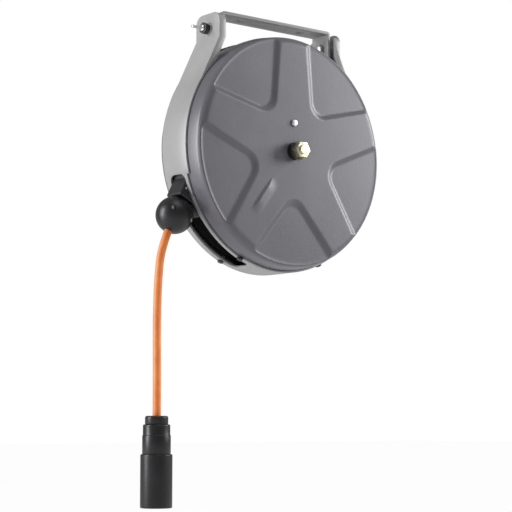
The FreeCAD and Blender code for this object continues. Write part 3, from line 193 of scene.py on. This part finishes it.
finishes = {
    # case and cover stand for one grey paint: the case is set lighter as painted light on the band, the cover
    # much darker as painted shade on its face; the cover's slight violet tint is its own
    "case": powderCoat("caseEnamel", {"dark": (0.305, 0.303, 0.308), "light": (0.345, 0.343, 0.348),
                                      "fleck": (0.42, 0.42, 0.43), "roughness": 0.34, "peel": 0.5,
                                      "coat": 0.12}),
    "cover": powderCoat("coverEnamel", {"dark": (0.112, 0.110, 0.129), "light": (0.130, 0.128, 0.148),
                                        "fleck": (0.18, 0.18, 0.195), "roughness": 0.34, "peel": 0.5,
                                        "coat": 0.15}),
    # black enamel, set near black partly as painted shade, so the drum seen through the band's opening reads
    # as the dark inside of the case
    "drum": powderCoat("drumEnamel", {"dark": (0.012, 0.012, 0.014), "light": (0.022, 0.022, 0.024),
                                      "fleck": (0.05, 0.05, 0.05), "roughness": 0.5, "peel": 0.6,
                                      "coat": 0.05}),
    "zinc": turnedSteel("zincPlate", {"dark": (0.58, 0.58, 0.57), "light": (0.72, 0.72, 0.70),
                                      "roughness": 0.24}),
    "yellow": turnedSteel("yellowPlate", {"dark": (0.70, 0.62, 0.34), "light": (0.86, 0.82, 0.60),
                                          "roughness": 0.26}),
    "blackened": turnedSteel("blackenedSteel", {"dark": (0.045, 0.045, 0.05), "light": (0.09, 0.09, 0.095),
                                                "roughness": 0.36}),
    "brass": turnedSteel("brassPlate", {"dark": (0.62, 0.46, 0.20), "light": (0.80, 0.63, 0.32),
                                        "roughness": 0.25}),
    "moulding": moulded("blackMoulding", {"dark": (0.012, 0.012, 0.014), "light": (0.02, 0.02, 0.023),
                                          "grain": 700.0, "roughness": 0.36, "depth": 0.35}),
    "rubber": moulded("blackRubber", {"dark": (0.007, 0.007, 0.0085), "light": (0.013, 0.013, 0.016),
                                      "grain": 1100.0, "roughness": 0.26, "depth": 0.4}),
    "roller": moulded("paleRoller", {"dark": (0.66, 0.65, 0.60), "light": (0.78, 0.77, 0.72),
                                     "grain": 900.0, "roughness": 0.3, "depth": 0.2}),
    "cord": cordJacket("orangeJacket", {"dark": (0.80, 0.215, 0.05), "light": (0.92, 0.29, 0.08),
                                        "scuff": (0.94, 0.45, 0.19)}),
}

slotFinishes = {
    "grey_paint": "case", "cover_paint": "cover", "zinc": "zinc", "yellow_zinc": "yellow",
    "black_steel": "drum", "brass": "brass", "black_moulding": "moulding", "black_rubber": "rubber",
    "pale_roller": "roller", "orange_cord": "cord",
}
slotOf = {entry["node"]: entry["material_slot"] for entry in frame["record"]["subparts"]}
# the axle washers are blackened partly as painted shade: their dark ring stands in for the shadow the axle
# nut casts on the cover
blackened = ["mainspring", "pawl_spring", "retaining_rings", "pivot_nuts", "case_screws", "axle_washers"]
for name, node in nodes.items():
    node.data.materials.clear()
    node.data.materials.append(finishes["blackened" if name in blackened else slotFinishes[slotOf[name]]])
print("finishes made")


# ---- meshes

def addPiece(name, mesh, body, finish, node):
    mesh.materials.clear()
    mesh.materials.append(finishes[finish])
    piece = placed(name, mesh)
    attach(piece, body)
    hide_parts(node)


def toMesh(bm, name, smoothAngle):
    mesh = bpy.data.meshes.new(name)
    bmesh.ops.remove_doubles(bm, verts=bm.verts, dist=1e-6)
    bmesh.ops.recalc_face_normals(bm, faces=bm.faces)
    bm.to_mesh(mesh)
    bm.free()
    for polygon in mesh.polygons:
        polygon.use_smooth = True
    mesh.set_sharp_from_angle(angle=math.radians(smoothAngle))
    return mesh


# pressed covers: one profile turned about the axle, with the five panels pushed in afterwards (mm)
coverSpec = {
    "front": {"face": -48.0, "inward": 1, "end": -15.0, "cone": 24.0, "depth": 3.2},
    "rear": {"face": 37.0, "inward": -1, "end": 15.0, "cone": 13.0, "depth": 3.2},
    "rim": 147.6, "taper": 3.5, "shoulder": 10.0, "sheet": 1.5, "hole": 6.1,
    "panels": 5, "apexCentre": 89.0, "apexRound": 26.0, "edgeAngle": 40.5, "slope": 7.0, "ease": 0.8,
    "blend": 3.0,
    "crease": {"angle": -128.0, "offset": 4.5, "start": 47.0, "end": 105.0, "height": 1.8, "width": 13.0,
               "ends": 20.0, "lead": 2.0, "step": 3.0},
}
# how finely a cover is divided: rings near the axle, even rings out to the shoulder, rings of the inner wall
coverGrid = {
    "turns": 420, "near": (9, 14, 20, 27, 34, 40), "first": 42, "spacing": 1.5, "outerArc": 10, "innerArc": 6,
    "inner": (131, 128, 125, 120, 114, 108, 102, 96, 90, 84, 78, 72, 67, 62, 57, 52, 47, 42, 20),
    "edge": 0.3, "innerEdge": 0.2, "smooth": 60,
}


def eased(t):
    t = min(1.0, max(0.0, t))
    return t * t * (3 - 2 * t)


def roundedMeet(a, b, radius):
    # two edges' distances joined round a corner; negative inside
    x, y = max(radius + a, 0.0), max(radius + b, 0.0)
    return min(-radius, max(a, b)) + math.hypot(x, y)


def panelDepth(x, z):
    # how far inside a panel's outline a place on the face is, as a share of the full depth
    spec = coverSpec
    turn = 2 * math.pi / spec["panels"]
    angle = math.atan2(x, -z)
    angle -= round(angle / turn) * turn
    radius = math.hypot(x, z)
    lean = math.radians(spec["edgeAngle"])
    across = abs(radius * math.sin(angle)) * math.cos(lean)
    along = (radius * math.cos(angle) - spec["apexCentre"]) * math.sin(lean) + spec["apexRound"]
    inside = roundedMeet(across - along, -across - along, spec["apexRound"])
    return eased((spec["ease"] - inside) / (spec["slope"] + 2 * spec["ease"]))


def creaseHeight(x, z):
    # a steep step up, then a fall over the crease's width, with both ends faded out
    spec = coverSpec["crease"]
    way = math.radians(spec["angle"])
    out = x * math.cos(way) + z * math.sin(way)
    across = -x * math.sin(way) + z * math.cos(way) + spec["offset"]
    if not -spec["lead"] < across < spec["width"]:
        return 0.0
    ends = eased((out - spec["start"]) / spec["ends"]) * eased((spec["end"] - out) / spec["ends"])
    rise = eased((across + spec["lead"]) / spec["step"])
    return spec["height"] * ends * rise * (1 - max(0.0, across) / spec["width"])


def deeper(a, b, blend):
    # the deeper of two depths, less a small round where they meet
    near = max(0.0, blend - abs(a - b)) / max(blend, 0.001)
    return max(a, b) - near * near * blend / 4


def arc(centre, radius, start, end, steps):
    angles = [math.radians(start + (end - start) * i / steps) for i in range(steps + 1)]
    return [(centre[0] + radius * math.cos(angle), centre[1] + radius * math.sin(angle)) for angle in angles]


def pressedCover(name, node, spec):
    # the walls are lists of (radius, depth below the face)
    shared, grid = coverSpec, coverGrid
    sheet, rim, shoulder, hole = shared["sheet"], shared["rim"], shared["shoulder"], shared["hole"]
    taper, cone, sign = shared["taper"], spec["cone"], spec["inward"]
    slant = math.hypot(cone, taper)
    flat = rim - taper - (shoulder * slant - taper * shoulder) / cone   # where the shoulder leaves the face
    lean = -math.degrees(math.atan2(taper, cone))
    edge = abs(spec["end"] - spec["face"])
    broken = grid["edge"]
    evenRings = int((flat - grid["first"] - 1) / grid["spacing"])
    outerWall = [(hole, 0.0)] + [(r, 0.0) for r in grid["near"]]
    outerWall += [(grid["first"] + grid["spacing"] * i, 0.0) for i in range(evenRings)] + [(flat, 0.0)]
    outerWall += arc((flat, shoulder), shoulder, -90, lean, grid["outerArc"])[1:]
    outerWall += [(rim, cone), (rim, edge - broken), (rim - broken, edge)]
    innerWall = [(rim - sheet + grid["innerEdge"], edge), (rim - sheet, edge - broken), (rim - sheet, cone)]
    innerWall += arc((flat, shoulder), shoulder - sheet, lean, -90, grid["innerArc"])
    innerWall += [(r, sheet) for r in (*grid["inner"], hole)]
    bm = bmesh.new()
    verts = [bm.verts.new(Vector((r, spec["face"] + sign * y, 0)) * mm) for r, y in outerWall + innerWall]
    edges = [bm.edges.new((verts[i], verts[(i + 1) % len(verts)])) for i in range(len(verts))]
    bmesh.ops.spin(bm, geom=verts + edges, cent=(0, 0, 0), axis=(0, 1, 0), dvec=(0, 0, 0),
                   angle=2 * math.pi, steps=grid["turns"], use_merge=True, use_duplicate=False)
    for vert in bm.verts:
        x, z = vert.co.x / mm, vert.co.z / mm
        radius, deep = math.hypot(x, z), sign * (vert.co.y / mm - spec["face"])
        if deep < shoulder:
            share = panelDepth(x, z)
            within = math.hypot(max(0.0, radius - flat), shoulder - deep) < shoulder - sheet / 2
            floorDepth = spec["depth"] * share + (sheet if within else 0.0)
            pushed = deeper(deep, floorDepth, shared["blend"] * share)
            if node == "front_cover" and radius < flat:
                pushed -= creaseHeight(x, z) * (1 - share)
            vert.co.y = (spec["face"] + sign * pushed) * mm
        vert.co.z += axle.z
    addPiece(name, toMesh(bm, name, grid["smooth"]), "case", "cover", node)


pressedCover("frontCover", "front_cover", coverSpec["front"])
pressedCover("rearCover", "rear_cover", coverSpec["rear"])
print("covers pressed")

# broken edges: what counts as one place or one flat (m, degrees), which edges, how smooth between them
softSpec = {"merge": 2e-6, "flat": 0.6, "above": 30, "smooth": 40}


def softened(name, node, body, finish, edge, steps=2):
    # a merged copy of a sheet or moulded node whose edges are broken as a press or a mould leaves them
    bm = bmesh.new()
    bm.from_mesh(nodes[node].data)
    bmesh.ops.remove_doubles(bm, verts=bm.verts, dist=softSpec["merge"])
    bmesh.ops.dissolve_limit(bm, angle_limit=math.radians(softSpec["flat"]), verts=bm.verts, edges=bm.edges)
    sharp = [line for line in bm.edges if len(line.link_faces) == 2
             and line.calc_face_angle(0) > math.radians(softSpec["above"])]
    bmesh.ops.bevel(bm, geom=sharp, offset=edge * mm, offset_type="OFFSET", affect="EDGES",
                    segments=steps, profile=0.5, clamp_overlap=True, material=-1)
    addPiece(name, toMesh(bm, name, softSpec["smooth"]), body, finish, node)


softened("caseBand", "side_band", "case", "case", 0.5)
softened("ceilingStrap", "ceiling_strap", "bracket", "case", 0.7, 3)
softened("topPlate", "top_plate", "case", "case", 0.4)
softened("mouthBlock", "mouth_block", "case", "moulding", 0.6)
softened("ballFront", "ball_half_front", "cord", "rubber", 0.6, 3)
softened("ballRear", "ball_half_rear", "cord", "rubber", 0.6, 3)
softened("axleNuts", "axle_nuts", "case", "yellow", 0.7, 3)
softened("pivotNuts", "pivot_nuts", "bracket", "blackened", 0.5)
softened("pivotBolts", "pivot_bolts", "bracket", "zinc", 0.4)
softened("anchorScrew", "anchor_screw", "case", "zinc", 0.4)
softened("connectorCollar", "connector_gland", "cord", "rubber", 0.8, 3)
softened("connectorSleeve", "connector_sleeve", "cord", "rubber", 0.6)
softened("connectorBody", "connector_body", "cord", "rubber", 0.6)
softened("socketInsert", "socket_insert", "cord", "moulding", 0.3)
softened("supplyGland", "supply_gland", "case", "moulding", 0.6)
print("edges softened")


# ---- cords

def cordCurve(name, body, points, spec, *replaced):
    curve = bpy.data.curves.new(name, "CURVE")
    curve.dimensions = "3D"
    curve.bevel_depth = spec["radius"] * mm
    curve.bevel_resolution = spec["sides"]
    curve.resolution_u = spec["steps"]
    curve.use_fill_caps = True
    spline = curve.splines.new("NURBS")
    spline.points.add(len(points) - 1)
    for point, place in zip(spline.points, points):
        point.co = (*place, 1)
    spline.order_u = 3
    spline.use_endpoint_u = True
    curve.materials.append(finishes["cord"])
    piece = placed(name, curve)
    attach(piece, body)
    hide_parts(*replaced)
    return piece


# the mouth's line lies one winding radius from the axle; places along it are mm below the axle's level
mouthSpec = {"line": -92.5, "ball": -145.08, "straight": -187.08, "rollers": -80.0, "innerStart": -11.5,
             "unwound": (-2.0, -10.0)}


def alongMouth(place):
    return fromMouth(mouthSpec["line"], 0, place)


cordSpec = {"radius": 5.0, "sides": 6, "steps": 10}
freeRoute = [alongMouth(mouthSpec["ball"]), alongMouth(mouthSpec["straight"]), Vector((-0.1722, 0, -0.342)),
             Vector((-0.1734, 0, -0.394)), Vector((-0.1726, 0, -0.457)), Vector((-0.1726, 0, -0.5005))]
freeCord = cordCurve("freeCord", "cord", freeRoute, cordSpec, "cord_free")
innerRoute = [alongMouth(mouthSpec[place]) for place in ("innerStart", "rollers", "ball")]
cordCurve("innerCord", "cord", innerRoute, cordSpec, "cord_inner_run")

# two layers on the drum, counted in quarter turns; parts is the number of points in a quarter
windingSpec = {"radius": 5.0, "sides": 4, "steps": 3, "upper": 92.5, "lower": 82.0, "pitch": 10.5,
               "lowerQuarters": 12, "upperQuarters": 6, "parts": 5}


def windingPoint(quarter):
    spec = windingSpec
    lowerEnd = spec["lowerQuarters"]
    wide = spec["pitch"] * spec["upperQuarters"] / 4
    radius = spec["lower"] + (spec["upper"] - spec["lower"]) * eased(quarter - lowerEnd)
    if quarter <= lowerEnd:
        y = wide - spec["pitch"] * (lowerEnd - quarter) / 4
    else:
        y = wide - spec["pitch"] * max(0.0, quarter - lowerEnd - 1) / 4
    angle = math.radians(180 + 90 * (quarter - lowerEnd - 1 - spec["upperQuarters"]))
    stretch = 1 / math.cos(math.pi / 4 / spec["parts"])   # a square-law spline runs inside its points
    return fromMouth(radius * math.cos(angle) * stretch, y, radius * math.sin(angle) * stretch)


quarters = windingSpec["lowerQuarters"] + windingSpec["upperQuarters"] + 1
route = [windingPoint(0)]
route += [windingPoint((i + 0.5) / windingSpec["parts"]) for i in range(quarters * windingSpec["parts"])]
route += [alongMouth(place) for place in mouthSpec["unwound"]]
cordCurve("woundCord", "drum", route, windingSpec, "cord_winding", "winding_core")
print("cords laid")


# ---- stage

stageSpec = {"floor": -0.70, "size": 12.0, "paper": ((0.86, 0.86, 0.86), (0.90, 0.90, 0.90)), "cloud": 3.0,
             "seen": 0.97, "gloss": 0.3, "room": 0.30}
floorMesh = bpy.data.meshes.new("floorSheet")
bm = bmesh.new()
bmesh.ops.create_grid(bm, x_segments=1, y_segments=1, size=stageSpec["size"],
                      matrix=Matrix.Translation((0, 0, stageSpec["floor"])))
bm.to_mesh(floorMesh)
bm.free()
paper = Finish("palePaper", Roughness=0.9)
paper.color(paper.mixed(*stageSpec["paper"], paper.noise(stageSpec["cloud"])))
seen = paper.node("ShaderNodeLightPath", output="Is Camera Ray")
gloss = paper.node("ShaderNodeLightPath", output="Is Glossy Ray")
glow = paper.node("ShaderNodeEmission", {}, {"Color": (1.0, 1.0, 1.0), "Strength": 1.0})
share = seen * stageSpec["seen"] + gloss * stageSpec["gloss"]
surface = Signal(paper, paper.shader.outputs[0])
blended = paper.node("ShaderNodeMixShader", {}, {0: share, 1: surface, 2: glow})
paper.tree.links.new(blended.socket, paper.tree.nodes["Material Output"].inputs["Surface"])
floorMesh.materials.append(paper.material)
placed("floorSheet", floorMesh)

# the room lights the object softly and is seen as white
world = bpy.data.worlds.new("paleRoom")
bpy.context.scene.world = world
world.use_nodes = True
tree = world.node_tree
room, white = tree.nodes["Background"], tree.nodes.new("ShaderNodeBackground")
for background, strength in ((room, stageSpec["room"]), (white, 1.0)):
    background.inputs["Color"].default_value = (1, 1, 1, 1)
    background.inputs["Strength"].default_value = strength
path, choose = tree.nodes.new("ShaderNodeLightPath"), tree.nodes.new("ShaderNodeMixShader")
tree.links.new(path.outputs["Is Camera Ray"], choose.inputs[0])
tree.links.new(room.outputs[0], choose.inputs[1])
tree.links.new(white.outputs[0], choose.inputs[2])
tree.links.new(choose.outputs[0], tree.nodes["World Output"].inputs["Surface"])

lampSpec = {
    "main": {"azimuth": 62, "height": 16, "away": 1.3, "size": (0.7, 0.7), "power": 14},
    "left": {"azimuth": -112, "height": 8, "away": 1.7, "size": (0.3, 1.2), "power": 25},
    "top": {"azimuth": -10, "height": 66, "away": 2.2, "size": (1.2, 1.2), "power": 12},
}
for name, spec in lampSpec.items():
    lamp = bpy.data.lights.new(name + "Lamp", "AREA")
    lamp.shape = "RECTANGLE"
    lamp.size, lamp.size_y = spec["size"]
    lamp.energy = spec["power"]
    holder = placed(name + "Lamp", lamp)
    out = direction(spec["azimuth"], spec["height"])
    holder.location = axle + out * spec["away"]
    holder.rotation_euler = out.to_track_quat("Z", "Y").to_euler()

# camera: the front rim's middle lies at a known place in a 512 x 512 frame, at scale pixels to the metre
cameraSpec = {"azimuth": -38.5, "height": -6.0, "away": 2.0, "lens": 112.5, "sensor": 36, "scale": 800.0,
              "aim": (0.0, -0.043, -0.172), "at": (291.5, 152.0), "middle": 256}
camera = placed("photoCamera", bpy.data.cameras.new("photoCamera"))
back = direction(cameraSpec["azimuth"], cameraSpec["height"])
right = (-back).cross(Vector((0, 0, 1))).normalized()
up = right.cross(-back)
aside, below = [(place - cameraSpec["middle"]) / cameraSpec["scale"] for place in cameraSpec["at"]]
camera.location = Vector(cameraSpec["aim"]) - right * aside + up * below + back * cameraSpec["away"]
camera.rotation_euler = Matrix((right, up, back)).transposed().to_euler()
camera.data.lens = cameraSpec["lens"]
camera.data.sensor_width = cameraSpec["sensor"]
bpy.context.scene.camera = camera
bpy.context.scene.view_settings.view_transform = "Standard"
print("stage set")

bpy.context.view_layer.update()
